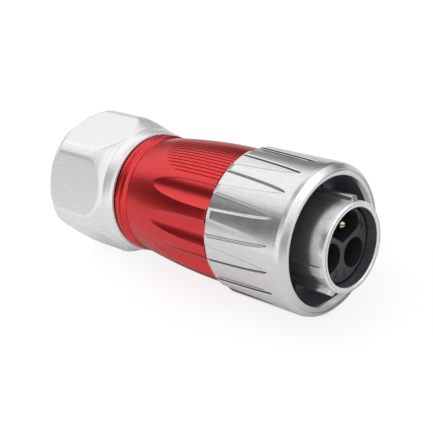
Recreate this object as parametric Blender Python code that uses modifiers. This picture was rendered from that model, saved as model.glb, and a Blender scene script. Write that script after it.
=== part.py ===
"""Three-pole circular power plug with a turning bayonet ring and a cable gland.

Every piece is modelled about the plug's own axis, which is local +Z and points
out of the mating end, with the plane of the coupling ring's front face at z = 0.
Angles are measured about that axis from local +X towards +Y, and the main key
stands close to 90 degrees. One empty, plug_axis, then lays the finished plug down
the way it rests on a table: on a flat of the gland nut and on the coupling ring.
"""
import math

import bmesh
import bpy
from mathutils import Matrix, Vector
from mathutils.geometry import convex_hull_2d

mm = 0.001
deg = math.radians(1.0)

# Clearances
GAP = 0.30 * mm             # between pieces that touch or are cut by each other
RUN = 0.35 * mm             # round the ring where it turns on the shell
WELD = 0.01 * mm            # merge distance of every modelling tool

# Coupling ring, whose radius sets every other radius
RING_R = 17.2 * mm
RING_FACE_R = RING_R - 1.2 * mm         # outer edge of the flat front face
RING_BORE_R = 0.823 * RING_R
RING_MOUTH_R = RING_BORE_R + 0.55 * mm
RING_LENGTH = 22.25 * mm
BACK = -RING_LENGTH         # rear plane of the ring; what is behind it is placed from here
RING_REAR_BEVEL = (0.4 * mm, 1.3 * mm)  # depth and length
FLUTES = 18
FLUTE_PHASE = 12 * deg
FLUTE_HALF = 7.3 * deg      # half of a flute's width at the rear of the ring
FLUTE_TIP_Z = -4.1 * mm
FLUTE_DEPTH = 0.45 * mm
FLUTE_WALL = 0.3 * mm       # how far a flute's wall leans out
FLUTE_CURVE = 0.55          # the outline widens with this power of the way from its tip
FLUTE_STATIONS = (0.004, 0.07, 0.25, 0.55, 1.0)
LUG_Z = 0.436 * BACK
LUG_DEPTH = 2.5 * mm
LUGS = 3
LUG_GAP_PHASE = 15 * deg
LUG_GAP_HALF = 14 * deg
TURN = 45 * deg             # travel of the ring from open to locked
STOP_AT = 196 * deg
STOP_HALF = 5 * deg

# Front shell
SHELL_R = 0.59 * RING_R
SHELL_BORE_R = SHELL_R - 1.35 * mm
SHELL_FRONT = 5.55 * mm
ANNULUS = RING_BORE_R - SHELL_R         # room between the sleeve and the ring
LUG_R = SHELL_R + 0.59 * ANNULUS        # inner radius of the bayonet lugs in the ring
SPIGOT_R = SHELL_R + 0.56 * ANNULUS
SPIGOT_END = BACK - 11.05 * mm
FLANGE_R = SHELL_R + 0.86 * ANNULUS
FLANGE_Z = BACK + 5.45 * mm
FLANGE_T = 2.2 * mm
POCKET_R = SHELL_BORE_R + 1.2 * mm      # rear pocket of the shell, which holds the insulators
POCKET_Z = FLANGE_Z - 0.8 * mm
KEY_R = SHELL_R + 1.05 * mm
KEY_AT = 86 * deg
KEY_HALF = 4.7 * deg
SIDE_KEY_AT = 234 * deg     # the square-ended key on the lower left
PAD_AT = 198.5 * deg
PAD_HALF = 7.5 * deg
PAD_R = SHELL_R + 0.35 * mm

# Insulators and contacts
FACE_Z = 2.8 * mm           # front face of the insulator
WELL_R = 0.386 * SHELL_BORE_R
WELL_FLOOR = BACK + 8.25 * mm
KEYED_SCALE = SHELL_BORE_R / (8.8 * mm)     # of the first well's outline
POLES = (86 * deg, 206 * deg, 326 * deg)
POLE_RS = (0.5 * SHELL_BORE_R, 0.54 * SHELL_BORE_R, 0.54 * SHELL_BORE_R)
PIN_R = 0.097 * SHELL_BORE_R
PIN_TIPS = (2.6 * mm, -3.5 * mm, -3.5 * mm)
SPLIT_Z = BACK + 3.25 * mm  # where the front insulator meets the rear one
REAR_END = BACK - 6.75 * mm
COLLAR_R = 0.352 * SHELL_BORE_R
COLLAR_T = 1.2 * mm
TAIL_R = 0.273 * SHELL_BORE_R
TAIL_END = BACK - 14.75 * mm
WIRE_R = 0.56 * TAIL_R
SCREW_Z = TAIL_END + 2.6 * mm
SCREW_R = 0.7 * WIRE_R
SCREW_HEAD_R = 0.73 * TAIL_R

# Back shell
BODY_R = RING_R - 1.15 * mm
BODY_FRONT = BACK - 1.05 * mm
BODY_END = BACK - 32.2 * mm # rear face of the last bead
BODY_THREAD_R = BODY_R - 3.6 * mm
BODY_THREAD_END = BODY_END - 11.55 * mm
BODY_CAVITY_R = BODY_THREAD_R - 0.85 * mm
BODY_TAIL_BORE_R = BODY_THREAD_R - 2.85 * mm
BARREL = ((1.85, 1.0), (8.25, 0.998), (13.75, 0.983), (19.25, 0.956), (24.25, 0.923),
          (28.45, 0.888))   # mm behind the ring, share of the body's radius
BEAD_R = 0.891 * BODY_R
FLAMES = (149.5 * deg, 179.5 * deg, 209.5 * deg, -30.5 * deg, -0.5 * deg, 29.5 * deg)
FLAME_TIP_Z = BACK - 19.95 * mm
FLAME_DEPTH = 1.1 * mm
FLAME_HALF_WIDTH = 4.3 * mm
FLAME_ARCH = 3.5 * mm
GRIPS = (89.6 * deg, 269.6 * deg)
GRIP_GROOVES = 13           # grooves on each side of a grip's middle one
GRIP_PITCH = 3.38 * deg
GRIP_WIDTH = 1.3 * deg
GRIP_DEPTH = 0.3 * mm
GRIP_TIP_Z = BACK - 23.95 * mm
GRIP_REACH = 11.0 * mm      # how much sooner the outermost grooves start

# Gland nut
NUT_FRONT = BODY_END - 0.55 * mm
NUT_END = NUT_FRONT - 24.0 * mm
NUT_CORNER_R = RING_R + 0.3 * mm
NUT_FLAT = NUT_CORNER_R - 1.65 * mm     # half of the width across flats
NUT_FLAT_END = NUT_END + 0.95 * mm  # rear end of a flat at its middle
NUT_PHASE = 21.5 * deg      # angle of one corner
NUT_COLLAR_R = NUT_CORNER_R - 2.1 * mm
NUT_NECK_R = NUT_CORNER_R - 2.2 * mm
NUT_RECESS_R = NUT_COLLAR_R - 0.85 * mm     # pocket in the nut's front for its gasket
NUT_RECESS = 1.1 * mm

# Cable seal, clamp cage and slip washer inside the gland nut
SEAL_R = BODY_TAIL_BORE_R - 1.6 * mm
SEAL_BORE_R = 0.75 * SEAL_R
SEAL_FRONT = NUT_FRONT - 5.0 * mm
NUT_OPENING_R = SEAL_BORE_R + 1.4 * mm
CAGE_FINGER_T = 1.0 * mm
CAGE_FINGERS = 8
CAGE_SLIT = 1.3 * mm
WASHER_T = 0.8 * mm

STEPS_RING = 54
STEPS_BODY = 40
STEPS_NUT = 36
STEPS_SHELL = 36
STEPS_INNER = 20
STEPS_PIN = 12


# Scene and materials

for old in list(bpy.data.objects):
    bpy.data.objects.remove(old, do_unlink=True)

parts = bpy.data.collections.new("power_plug")
cutters = bpy.data.collections.new("cutters")
bpy.context.scene.collection.children.link(parts)
bpy.context.scene.collection.children.link(cutters)


def material(name, color, roughness, metallic):
    made = bpy.data.materials.new(name)
    made.use_nodes = True
    shader = made.node_tree.nodes["Principled BSDF"]
    shader.inputs["Base Color"].default_value = (*color, 1.0)
    shader.inputs["Roughness"].default_value = roughness
    shader.inputs["Metallic"].default_value = metallic
    made.diffuse_color = (*color, 1.0)
    return made


SATIN_SILVER = material("satin_silver", (0.62, 0.62, 0.63), 0.30, 1.0)
BRIGHT_SILVER = material("bright_silver", (0.66, 0.66, 0.67), 0.22, 1.0)
PALE_SILVER = material("pale_silver", (0.80, 0.80, 0.79), 0.48, 0.7)
RED = material("red_anodised", (0.58, 0.03, 0.05), 0.38, 0.75)
DARK_PLASTIC = material("dark_plastic", (0.055, 0.055, 0.060), 0.50, 0.0)
RUBBER = material("black_rubber", (0.015, 0.015, 0.016), 0.70, 0.0)
GOLD = material("gold_plate", (0.90, 0.62, 0.24), 0.22, 1.0)
SPRING_STEEL = material("spring_steel", (0.45, 0.45, 0.46), 0.35, 1.0)
CAGE_PLASTIC = material("cage_plastic", (0.10, 0.10, 0.11), 0.55, 0.0)


# Modelling helpers

def add(name, mesh, look=None, collection=parts):
    thing = bpy.data.objects.new(name, mesh)
    if look:
        mesh.materials.append(look)
    collection.objects.link(thing)
    return thing


def fixed_mesh(thing):
    """Turn an object with modifiers into a plain mesh."""
    bpy.context.view_layer.update()
    seen = thing.evaluated_get(bpy.context.evaluated_depsgraph_get())
    mesh = bpy.data.meshes.new_from_object(seen)
    thing.modifiers.clear()
    thing.data = mesh
    return thing


def smooth(thing, angle=32):
    thing.data.shade_smooth()
    thing.data.set_sharp_from_angle(angle=angle * deg)
    return thing


def turned(name, profile, steps, look=None, closed=True, collection=parts):
    """Turn an outline of (radius, z) points about Z, outer side first, going down."""
    bm = bmesh.new()
    points = [bm.verts.new((r, 0.0, z)) for r, z in profile]
    pairs = list(zip(points, points[1:]))
    if closed:
        pairs.append((points[-1], points[0]))
    for pair in pairs:
        bm.edges.new(pair)
    mesh = bpy.data.meshes.new(name)
    bm.to_mesh(mesh)
    bm.free()
    thing = add(name, mesh, look, collection)
    screw = thing.modifiers.new("turn", "SCREW")
    screw.axis = "Z"
    screw.angle = math.tau
    screw.steps = steps
    screw.render_steps = steps
    screw.use_merge_vertices = True
    screw.merge_threshold = WELD
    return fixed_mesh(thing)


def sector(name, outline, middle, half, slices=1, collection=cutters):
    """Sweep a closed (radius, z) outline through an angle about Z."""
    bm = bmesh.new()
    rows = []
    for i in range(slices + 1):
        turn = Matrix.Rotation(middle - half + 2 * half * i / slices, 3, "Z")
        rows.append([bm.verts.new(turn @ Vector((r, 0.0, z))) for r, z in outline])
    for row, ahead in zip(rows, rows[1:]):
        for i in range(len(outline)):
            bm.faces.new((row[i], row[i - 1], ahead[i - 1], ahead[i]))
    bm.faces.new(rows[0])
    bm.faces.new(rows[-1])
    bmesh.ops.recalc_face_normals(bm, faces=bm.faces)
    mesh = bpy.data.meshes.new(name)
    bm.to_mesh(mesh)
    bm.free()
    return add(name, mesh, None, collection)


def prism(name, outline, low, high, collection=cutters):
    """Raise a closed (x, y) outline from one height to another."""
    bm = bmesh.new()
    face = bm.faces.new([bm.verts.new((x, y, low)) for x, y in outline])
    swept = bmesh.ops.extrude_face_region(bm, geom=[face], use_keep_orig=True)
    moved = [g for g in swept["geom"] if isinstance(g, bmesh.types.BMVert)]
    bmesh.ops.translate(bm, verts=moved, vec=(0, 0, high - low))
    bmesh.ops.recalc_face_normals(bm, faces=bm.faces)
    mesh = bpy.data.meshes.new(name)
    bm.to_mesh(mesh)
    bm.free()
    return add(name, mesh, None, collection)


def rod(name, radius, low, high, steps, at=(0.0, 0.0), collection=cutters):
    """A plain cylinder along Z."""
    bm = bmesh.new()
    bmesh.ops.create_cone(bm, cap_ends=True, segments=steps, radius1=radius, radius2=radius,
                          depth=high - low)
    bmesh.ops.translate(bm, verts=bm.verts, vec=(at[0], at[1], (low + high) / 2))
    mesh = bpy.data.meshes.new(name)
    bm.to_mesh(mesh)
    bm.free()
    return add(name, mesh, None, collection)


def around(name, first, angles):
    """Copy one cutter round the axis and keep the copies as one object."""
    bm = bmesh.new()
    for angle in angles:
        copy = first.data.copy()
        copy.transform(Matrix.Rotation(angle, 4, "Z") @ first.matrix_basis)
        bm.from_mesh(copy)
        bpy.data.meshes.remove(copy)
    mesh = bpy.data.meshes.new(name)
    bm.to_mesh(mesh)
    bm.free()
    bpy.data.objects.remove(first, do_unlink=True)
    return add(name, mesh, None, cutters)


def shape(target, tool, operation="DIFFERENCE"):
    """Cut, join or intersect with a tool that stays in the cutters' collection."""
    tool.hide_render = True
    tool.display_type = "WIRE"
    step = target.modifiers.new(operation.lower(), "BOOLEAN")
    step.operation = operation
    step.solver = "EXACT"
    step.object = tool
    return fixed_mesh(target)


def arc(cx, cz, radius, start, end, steps):
    """Points of a round corner in the (radius, z) plane, angles in degrees."""
    turn = [start + (end - start) * i / steps for i in range(steps + 1)]
    return [(cx + radius * math.cos(a * deg), cz + radius * math.sin(a * deg)) for a in turn]


def polar(radius, angle):
    return radius * math.cos(angle), radius * math.sin(angle)


def barrel_radius(z):
    """Outer radius of the red barrel at a height."""
    rows = [(BACK - a * mm, b * BODY_R) for a, b in BARREL]
    if z >= rows[0][0]:
        return rows[0][1]
    for (za, ra), (zb, rb) in zip(rows, rows[1:]):
        if zb <= z <= za:
            return rb + (ra - rb) * (z - zb) / (za - zb)
    return rows[-1][1]


# Coupling ring: turned blank, three bayonet lugs, a stop tooth and eighteen flutes

snap_z = BACK + 0.7 * mm           # rear wall of the snap ring's groove
snap_groove = 1.3 * mm
snap_groove_r = RING_BORE_R + 0.75 * mm
coupling_ring = turned("coupling_ring", [
    (RING_MOUTH_R, 0.0),
    (RING_FACE_R, 0.0),
    (RING_R - 0.22 * mm, -1.0 * mm),
    (RING_R, -1.9 * mm),
    (RING_R, BACK + RING_REAR_BEVEL[1]),
    (RING_R - RING_REAR_BEVEL[0], BACK),
    (RING_BORE_R, BACK),
    (RING_BORE_R, snap_z),
    (snap_groove_r, snap_z),
    (snap_groove_r, snap_z + snap_groove),
    (RING_BORE_R, snap_z + snap_groove),
    (RING_BORE_R, LUG_Z - LUG_DEPTH),
    (LUG_R, LUG_Z - LUG_DEPTH),
    (LUG_R, LUG_Z),
    (RING_BORE_R, LUG_Z),
    (RING_BORE_R, -1.05 * mm),
], STEPS_RING, SATIN_SILVER)

flute_floor = RING_R - FLUTE_DEPTH
flute_top = RING_R + 1.0 * mm
flute_lean = FLUTE_WALL / FLUTE_DEPTH
flute_rear = BACK - 1.0 * mm


def flute_outline(height):
    """One flute's outline at a height above the axis: tip first, then rear."""
    grow = flute_lean * (height - RING_R)
    right = []
    for way in FLUTE_STATIONS:
        half = RING_R * math.sin(FLUTE_HALF) * way ** FLUTE_CURVE
        z = FLUTE_TIP_Z + (BACK - FLUTE_TIP_Z) * way
        right.append((max(half + grow, 0.05 * mm), z + grow * (1 - way)))
    right.append((right[-1][0], flute_rear))
    left = [(-y, z) for y, z in reversed(right)]
    return [(height, y, z) for y, z in right + left]


flute = bmesh.new()
floor_ring = [flute.verts.new(p) for p in flute_outline(flute_floor)]
top_ring = [flute.verts.new(p) for p in flute_outline(flute_top)]
flute.faces.new(floor_ring)
flute.faces.new(top_ring)
for i in range(len(floor_ring)):
    flute.faces.new((floor_ring[i - 1], floor_ring[i], top_ring[i], top_ring[i - 1]))
bmesh.ops.recalc_face_normals(flute, faces=flute.faces)
flute_mesh = bpy.data.meshes.new("flute")
flute.to_mesh(flute_mesh)
flute.free()
flute_turns = [FLUTE_PHASE + i * math.tau / FLUTES for i in range(FLUTES)]
shape(coupling_ring, around("flutes", add("flute", flute_mesh, None, cutters), flute_turns))

lug_gap = sector("lug_gap", [
    (LUG_R - 1.0 * mm, LUG_Z + 0.5 * mm),
    (LUG_R - 1.0 * mm, LUG_Z - LUG_DEPTH - 0.5 * mm),
    (RING_BORE_R - 0.05 * mm, LUG_Z - LUG_DEPTH - 0.5 * mm),
    (RING_BORE_R - 0.05 * mm, LUG_Z + 0.5 * mm),
], 0.0, LUG_GAP_HALF, slices=4)
lug_turns = [LUG_GAP_PHASE + i * math.tau / LUGS for i in range(LUGS)]
shape(coupling_ring, around("lug_gaps", lug_gap, lug_turns))

tooth_front = FLANGE_Z - 0.3 * mm
tooth_rear = FLANGE_Z - FLANGE_T + 0.3 * mm
tooth_r = SPIGOT_R + 0.15 * mm + RUN
shape(coupling_ring, sector("stop_tooth", [
    (tooth_r, tooth_front),
    (tooth_r, tooth_rear),
    (RING_BORE_R + 0.4 * mm, tooth_rear),
    (RING_BORE_R + 0.4 * mm, tooth_front),
], STOP_AT, STOP_HALF, slices=2), "UNION")
smooth(coupling_ring)


# Snap ring and wave washer that hold the coupling ring on the shell's flange

snap_t = snap_groove - 2 * GAP
snap_front = snap_z + snap_groove - GAP
snap_inner = SPIGOT_R + 0.75 * mm
retaining_ring = turned("retaining_ring", [
    (snap_groove_r - GAP, snap_front),
    (snap_groove_r - GAP, snap_front - snap_t),
    (snap_inner, snap_front - snap_t),
    (snap_inner, snap_front),
], STEPS_INNER, SPRING_STEEL)
shape(retaining_ring, sector("snap_mouth", [
    (snap_inner - 1 * mm, snap_front + 1 * mm),
    (snap_inner - 1 * mm, snap_front - 2 * mm),
    (snap_groove_r + 1 * mm, snap_front - 2 * mm),
    (snap_groove_r + 1 * mm, snap_front + 1 * mm),
], 40 * deg, 9 * deg, slices=2))
smooth(retaining_ring)

flange_rear = FLANGE_Z - FLANGE_T
wave_t = 0.3 * mm
wave_room = flange_rear - snap_front - 2 * GAP
wave_high = (wave_room - wave_t) / 2
wave_inner = SPIGOT_R + GAP
wave_outer = RING_BORE_R - GAP
wave_washer = turned("wave_washer", [
    (wave_outer, wave_t / 2),
    (wave_outer, -wave_t / 2),
    (wave_inner, -wave_t / 2),
    (wave_inner, wave_t / 2),
], STEPS_INNER, SPRING_STEEL)
wave_middle = (flange_rear + snap_front) / 2
for v in wave_washer.data.vertices:
    bearing = math.atan2(v.co.y, v.co.x)
    v.co.z += wave_middle + wave_high * math.cos(4 * bearing)
smooth(wave_washer)


# Front shell: sleeve with keys outside, flange, and the threaded spigot behind

o_groove_front = BODY_FRONT - 1.7 * mm
o_groove_rear = o_groove_front - 2.4 * mm
o_groove_r = SPIGOT_R - 0.7 * (SPIGOT_R - POCKET_R)
clip_groove_front = REAR_END - GAP - 0.25 * mm
clip_groove_rear = clip_groove_front - 1.3 * mm
clip_groove_r = POCKET_R + 0.42 * (SPIGOT_R - POCKET_R)
front_shell = turned("front_shell", [
    (SHELL_BORE_R, SHELL_FRONT - 0.25 * mm),
    (SHELL_BORE_R + 0.25 * mm, SHELL_FRONT),
    (SHELL_R - 0.4 * mm, SHELL_FRONT),
    (SHELL_R, SHELL_FRONT - 0.55 * mm),
    (SHELL_R, FLANGE_Z + 0.5 * mm),
    (SHELL_R + 0.5 * mm, FLANGE_Z),
    (FLANGE_R, FLANGE_Z),
    (FLANGE_R, flange_rear),
    (SPIGOT_R, flange_rear),
    (SPIGOT_R, o_groove_front),
    (o_groove_r, o_groove_front),
    (o_groove_r, o_groove_rear),
    (SPIGOT_R, o_groove_rear),
    (SPIGOT_R, SPIGOT_END + 0.6 * mm),
    (SPIGOT_R - 0.6 * mm, SPIGOT_END),
    (POCKET_R, SPIGOT_END),
    (POCKET_R, clip_groove_rear),
    (clip_groove_r, clip_groove_rear),
    (clip_groove_r, clip_groove_front),
    (POCKET_R, clip_groove_front),
    (POCKET_R, POCKET_Z),
    (SHELL_BORE_R, POCKET_Z),
], STEPS_SHELL, BRIGHT_SILVER)

key_front = SHELL_FRONT - 0.55 * mm
key_rear = FLANGE_Z + 2.4 * mm
shape(front_shell, sector("top_key", [
    (SHELL_R - 0.5 * mm, key_front),
    (SHELL_R, key_front),
    (KEY_R, key_front - 0.9 * mm),
    (KEY_R, key_rear),
    (SHELL_R - 0.5 * mm, key_rear),
], KEY_AT, KEY_HALF, slices=2), "UNION")
side_key = [(-8.0, SHELL_R - 0.5 * mm), (-8.0, SHELL_R + 0.05 * mm), (1.5, KEY_R), (6.5, KEY_R),
            (7.5, SHELL_R - 0.5 * mm)]
side_outline = [polar(out, SIDE_KEY_AT + turn * deg) for turn, out in side_key]
shape(front_shell, prism("side_key", side_outline, key_rear, key_front), "UNION")
shape(front_shell, sector("pad", [
    (SHELL_R - 0.4 * mm, key_front - 0.3 * mm),
    (SHELL_R, key_front - 0.3 * mm),
    (PAD_R, key_front - 0.7 * mm),
    (PAD_R, key_rear),
    (SHELL_R - 0.4 * mm, key_rear),
], PAD_AT, PAD_HALF, slices=3), "UNION")

notch_half = TURN / 2 + STOP_HALF + 1.5 * deg
shape(front_shell, sector("stop_notch", [
    (SPIGOT_R + 0.15 * mm, FLANGE_Z + 1 * mm),
    (SPIGOT_R + 0.15 * mm, flange_rear - 1 * mm),
    (FLANGE_R + 1 * mm, flange_rear - 1 * mm),
    (FLANGE_R + 1 * mm, FLANGE_Z + 1 * mm),
], STOP_AT + TURN / 2, notch_half, slices=6))
smooth(front_shell)

gasket_t = 1.6 * mm
face_gasket = turned("face_gasket", [
    (SPIGOT_R - 0.35 * mm, FLANGE_Z + GAP + gasket_t - 0.3 * mm),
    (SPIGOT_R - 0.35 * mm, FLANGE_Z + GAP),
    (SHELL_R + 0.5 * mm + GAP, FLANGE_Z + GAP),
    (SHELL_R + GAP, FLANGE_Z + GAP + 0.5 * mm),
    (SHELL_R + GAP, FLANGE_Z + GAP + gasket_t),
    (SPIGOT_R - 0.65 * mm, FLANGE_Z + GAP + gasket_t),
], STEPS_INNER, RUBBER)
smooth(face_gasket)

o_ring_r = (SPIGOT_R + GAP - o_groove_r - 2 * GAP) / 2
shell_o_ring = turned("shell_o_ring", arc(
    o_groove_r + GAP + o_ring_r, (o_groove_front + o_groove_rear) / 2, o_ring_r, 90, -225, 7,
), STEPS_INNER, RUBBER)
smooth(shell_o_ring, 60)


# Insulators: the front one with three wells, the rear one behind it, and their clip

front_r = SHELL_BORE_R - GAP
step_r = POCKET_R - GAP
insulator_front = turned("insulator_front", [
    (0.0, FACE_Z),
    (front_r - 0.2 * mm, FACE_Z),
    (front_r, FACE_Z - 0.2 * mm),
    (front_r, POCKET_Z - GAP),
    (step_r, POCKET_Z - GAP),
    (step_r, SPLIT_Z),
    (0.0, SPLIT_Z),
], STEPS_SHELL, DARK_PLASTIC, closed=False)

corners = ((1.35, 0.0, 0.8), (5.45, 40.0, 1.7), (5.45, -40.0, 1.7), (6.1, 28.0, 1.55), (6.1, -28.0, 1.55))
keyed = []
for out, turn, r in corners:
    middle = Vector(polar(out * mm, POLES[0] + turn * deg))
    keyed += [middle + Vector(polar(r * mm, i * 30 * deg)) for i in range(12)]
keyed += [Vector(polar(7.72 * mm, POLES[0] + i * 10 * deg)) for i in (-2, -1, 0, 1, 2)]
keyed = [point * KEYED_SCALE for point in keyed]
keyed_outline = [keyed[i] for i in convex_hull_2d(keyed)]
shape(insulator_front, prism("keyed_well", keyed_outline, WELL_FLOOR, FACE_Z + 1 * mm))
for number in (1, 2):
    at = polar(POLE_RS[number], POLES[number])
    well = rod(f"well_{number + 1}", WELL_R, WELL_FLOOR, FACE_Z + 1 * mm, 20, at)
    shape(insulator_front, well)

insulator_rear = turned("insulator_rear", [
    (0.0, SPLIT_Z - GAP),
    (step_r, SPLIT_Z - GAP),
    (step_r, REAR_END),
    (0.0, REAR_END),
], STEPS_INNER, DARK_PLASTIC, closed=False)

collar_front = SPLIT_Z - 2 * GAP
pocket_floor = collar_front - COLLAR_T - GAP
for number, (angle, out) in enumerate(zip(POLES, POLE_RS), 1):
    at = polar(out, angle)
    shape(insulator_front, rod(f"pin_hole_{number}", PIN_R + GAP, SPLIT_Z - 1 * mm,
                               WELL_FLOOR + 1 * mm, 12, at))
    shape(insulator_rear, rod(f"collar_pocket_{number}", COLLAR_R + GAP, pocket_floor,
                              SPLIT_Z + 1 * mm, 16, at))
    shape(insulator_rear, rod(f"tail_hole_{number}", TAIL_R + GAP, REAR_END - 1 * mm,
                              pocket_floor + 0.5 * mm, 16, at))
smooth(insulator_front)
smooth(insulator_rear)

clip_front = clip_groove_front - GAP
clip_rear = clip_groove_rear + GAP
insulator_clip = turned("insulator_clip", [
    (clip_groove_r - GAP, clip_front),
    (clip_groove_r - GAP, clip_rear),
    (POCKET_R - 1.2 * mm, clip_rear),
    (POCKET_R - 1.2 * mm, clip_front),
], STEPS_INNER, SPRING_STEEL)
shape(insulator_clip, sector("clip_mouth", [
    (POCKET_R - 2.5 * mm, clip_front + 1 * mm),
    (POCKET_R - 2.5 * mm, clip_rear - 1 * mm),
    (clip_groove_r + 1 * mm, clip_rear - 1 * mm),
    (clip_groove_r + 1 * mm, clip_front + 1 * mm),
], 30 * deg, 12 * deg, slices=2))
smooth(insulator_clip)


# Contacts: round-nosed pin, collar, tail with a wire bore and a clamping screw

def contact_profile(tip):
    nose = arc(0.0, tip - PIN_R, PIN_R, 90, 0, 4)
    return nose + [
        (PIN_R, collar_front),
        (COLLAR_R, collar_front),
        (COLLAR_R, collar_front - COLLAR_T),
        (TAIL_R, collar_front - COLLAR_T),
        (TAIL_R, TAIL_END + 0.4 * mm),
        (TAIL_R - 0.4 * mm, TAIL_END),
        (WIRE_R, TAIL_END),
        (WIRE_R, TAIL_END + 7.0 * mm),
        (0.0, TAIL_END + 7.5 * mm),
    ]


screw_floor = WIRE_R * 0.2
screw_head_in = TAIL_R + GAP
screw_profile = [
    (0.0, screw_head_in + 1.2 * mm),
    (SCREW_HEAD_R - 0.2 * mm, screw_head_in + 1.2 * mm),
    (SCREW_HEAD_R, screw_head_in + 1.0 * mm),
    (SCREW_HEAD_R, screw_head_in),
    (SCREW_R, screw_head_in),
    (SCREW_R, screw_floor),
    (0.0, screw_floor),
]
contacts = []
terminal_screws = []
for number, (angle, out, tip) in enumerate(zip(POLES, POLE_RS, PIN_TIPS), 1):
    contact = turned(f"contact_{number}", contact_profile(tip), STEPS_PIN, GOLD, closed=False)
    hole = rod(f"screw_hole_{number}", SCREW_R + 0.2 * mm, screw_floor, TAIL_R + 1 * mm, 10)
    hole.data.transform(Matrix.Translation((0, 0, SCREW_Z)) @ Matrix.Rotation(90 * deg, 4, "Y"))
    shape(contact, hole)
    smooth(contact)
    contact.location = (*polar(out, angle), 0.0)
    contact.rotation_euler = (0.0, 0.0, angle)
    contacts.append(contact)

    screw = turned(f"terminal_screw_{number}", screw_profile, STEPS_PIN, SPRING_STEEL, closed=False)
    slot = bmesh.new()
    bmesh.ops.create_cube(slot, size=1.0)
    bmesh.ops.scale(slot, verts=slot.verts, vec=(0.5 * mm, 5 * mm, 1.2 * mm))
    bmesh.ops.translate(slot, verts=slot.verts, vec=(0, 0, screw_head_in + 1.2 * mm))
    slot_mesh = bpy.data.meshes.new("slot")
    slot.to_mesh(slot_mesh)
    slot.free()
    shape(screw, add(f"slot_{number}", slot_mesh, None, cutters))
    smooth(screw)
    screw.location = (*polar(out, angle), SCREW_Z)
    screw.rotation_euler = (0.0, 90 * deg, angle)
    terminal_screws.append(screw)


# Back shell: flared barrel with two beads, six flame-shaped hollows and two ribbed grips

bead = [
    (-0.25, 3.5), (-0.05, 3.25), (0.0, 2.55), (-0.15, 1.85), (-0.5, 1.55),
    (-0.2, 1.3), (-0.05, 0.85), (-0.1, 0.2), (-0.25, 0.0),
]
outer = [(BODY_R - 0.5 * mm, BODY_FRONT), *[(r * BODY_R, BACK - z * mm) for z, r in BARREL]]
outer += [(BEAD_R + up * mm, BODY_END + z * mm) for up, z in bead]
back_shell = turned("back_shell", outer + [
    (BODY_THREAD_R - 0.45 * mm, BODY_END),
    (BODY_THREAD_R - 0.45 * mm, BODY_END - 2.2 * mm),
    (BODY_THREAD_R, BODY_END - 2.6 * mm),
    (BODY_THREAD_R, BODY_THREAD_END + 0.6 * mm),
    (BODY_THREAD_R - 0.6 * mm, BODY_THREAD_END),
    (BODY_TAIL_BORE_R, BODY_THREAD_END),
    (BODY_TAIL_BORE_R, BODY_END + 2.2 * mm),
    (BODY_CAVITY_R, BODY_END + 5.2 * mm),
    (BODY_CAVITY_R, SPIGOT_END - 1.2 * mm),
    (SPIGOT_R + GAP, SPIGOT_END - 1.2 * mm),
    (SPIGOT_R + GAP, BODY_FRONT),
], STEPS_BODY, RED)

flame_r = BODY_R - FLAME_DEPTH + FLAME_ARCH
flame_z = BODY_FRONT - 0.5 * mm
tip_share = (flame_r - barrel_radius(FLAME_TIP_Z)) / FLAME_ARCH
flame_long = (flame_z - FLAME_TIP_Z) / math.sqrt(1 - tip_share ** 2)
flame = bmesh.new()
bmesh.ops.create_uvsphere(flame, u_segments=14, v_segments=20, radius=1.0)
bmesh.ops.scale(flame, verts=flame.verts, vec=(FLAME_ARCH, FLAME_HALF_WIDTH, flame_long))
bmesh.ops.translate(flame, verts=flame.verts, vec=(flame_r, 0.0, flame_z))
flame_mesh = bpy.data.meshes.new("flame")
flame.to_mesh(flame_mesh)
flame.free()
shape(back_shell, around("flames", add("flame", flame_mesh, None, cutters), FLAMES))

groove_parts = bmesh.new()
for middle in GRIPS:
    for k in range(-GRIP_GROOVES, GRIP_GROOVES + 1):
        share = k / (GRIP_GROOVES + 0.25)
        start = GRIP_TIP_Z + GRIP_REACH * (1 - math.sqrt(1 - share * share))
        joints = [BACK - z * mm for z, _ in reversed(BARREL)]
        stations = [start, *[z for z in joints if z > start + 0.4 * mm], BODY_FRONT + 0.5 * mm]
        inner = [(barrel_radius(z) - GRIP_DEPTH, z) for z in stations]
        above = [(barrel_radius(z) + 1 * mm, z) for z in reversed(stations)]
        one = sector("groove", inner + above, middle + k * GRIP_PITCH, GRIP_WIDTH / 2)
        groove_parts.from_mesh(one.data)
        bpy.data.objects.remove(one, do_unlink=True)
groove_mesh = bpy.data.meshes.new("grip_grooves")
groove_parts.to_mesh(groove_mesh)
groove_parts.free()
shape(back_shell, add("grip_grooves", groove_mesh, None, cutters))
smooth(back_shell, 28)

gasket_front = BODY_END - GAP / 2
gasket_rear = NUT_FRONT - NUT_RECESS + GAP
nut_gasket = turned("nut_gasket", [
    (NUT_RECESS_R - GAP - 0.2 * mm, gasket_front),
    (NUT_RECESS_R - GAP, gasket_front - 0.2 * mm),
    (NUT_RECESS_R - GAP, gasket_rear),
    (BODY_THREAD_R - 0.45 * mm + GAP, gasket_rear),
    (BODY_THREAD_R - 0.45 * mm + GAP, gasket_front),
], STEPS_INNER, RUBBER)
smooth(nut_gasket)


# Gland nut: turned blank cut by a hexagon, with a cone inside that closes the cage

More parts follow.
